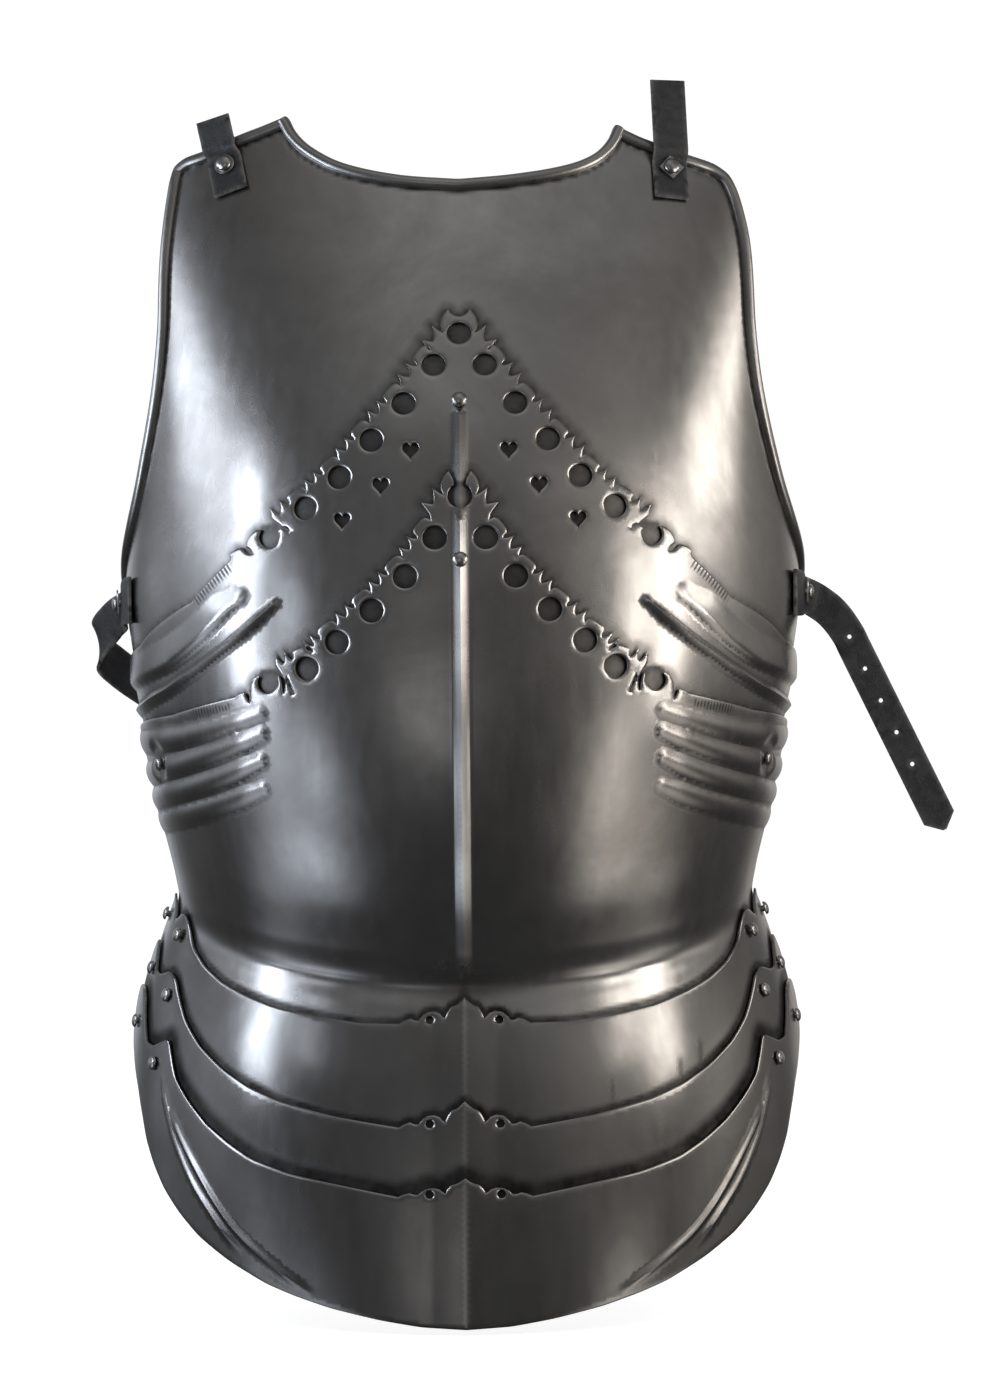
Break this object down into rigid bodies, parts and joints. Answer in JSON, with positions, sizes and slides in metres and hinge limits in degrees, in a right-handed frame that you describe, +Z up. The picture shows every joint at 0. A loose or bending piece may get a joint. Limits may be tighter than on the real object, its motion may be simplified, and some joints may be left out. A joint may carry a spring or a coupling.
{
  "type": "gothic steel breastplate with fauld",
  "caption": "Steel breastplate of three stacked plates with pierced, toothed chevron edges, fluted sides, an articulated fauld and black leather straps.",
  "frame": {"origin": "the wearer's torso axis at waist height, level with the side edges of the plates", "axes": "+Z up, the front faces -Y, +X to the right of the front view"},
  "size_m": [0.4673, 0.2052, 0.6412],
  "materials": {
    "steel_upper": "satin polished mild steel",
    "steel_middle": "satin polished mild steel",
    "steel_plackart": "satin polished mild steel",
    "steel_fauld": "satin polished mild steel",
    "rivet": "bright domed rivets",
    "washer": "dull steel washers",
    "leather": "smooth black strap leather"
  },
  "bodies": {
    "breastplate": {"upper_breastplate": "steel_upper", "middle_plate": "steel_middle", "plackart": "steel_plackart", "shoulder_strap_left": "leather", "shoulder_strap_right": "leather", "side_strap_left": "leather", "side_strap_right": "leather", "washer_shoulder_strap_left": "washer", "washer_shoulder_strap_right": "washer", "washer_side_strap_left": "washer", "washer_side_strap_right": "washer", "rivet_shoulder_strap_left": "rivet", "rivet_shoulder_strap_right": "rivet", "rivet_side_strap_left": "rivet", "rivet_side_strap_right": "rivet", "rivet_centre_upper": "rivet", "rivet_centre_lower": "rivet", "rivet_side_left": "rivet", "rivet_side_right": "rivet"},
    "lame_1": {"fauld_lame_1": "steel_fauld", "rivet_lame_1_left_front": "rivet", "rivet_lame_1_left_rear": "rivet", "rivet_lame_1_right_front": "rivet", "rivet_lame_1_right_rear": "rivet"},
    "lame_2": {"fauld_lame_2": "steel_fauld", "rivet_lame_2_left_front": "rivet", "rivet_lame_2_left_rear": "rivet", "rivet_lame_2_right_front": "rivet", "rivet_lame_2_right_rear": "rivet"},
    "lame_3": {"fauld_lame_3": "steel_fauld", "rivet_lame_3_left_front": "rivet", "rivet_lame_3_left_rear": "rivet", "rivet_lame_3_right_front": "rivet", "rivet_lame_3_right_rear": "rivet"}
  },
  "joints": [
    {"name": "lame_1_lift", "type": "hinge", "parent": "breastplate", "child": "lame_1", "pos_m": [0, -0.00086, -0.00908], "axis": [-1, 0, 0], "range_deg": [0, 5]},
    {"name": "lame_2_lift", "type": "hinge", "parent": "lame_1", "child": "lame_2", "pos_m": [0, -0.01996, -0.0366], "axis": [-1, 0, 0], "range_deg": [0, 5]},
    {"name": "lame_3_lift", "type": "hinge", "parent": "lame_2", "child": "lame_3", "pos_m": [0, -0.0238, -0.06424], "axis": [-1, 0, 0], "range_deg": [0, 5]}
  ]
}
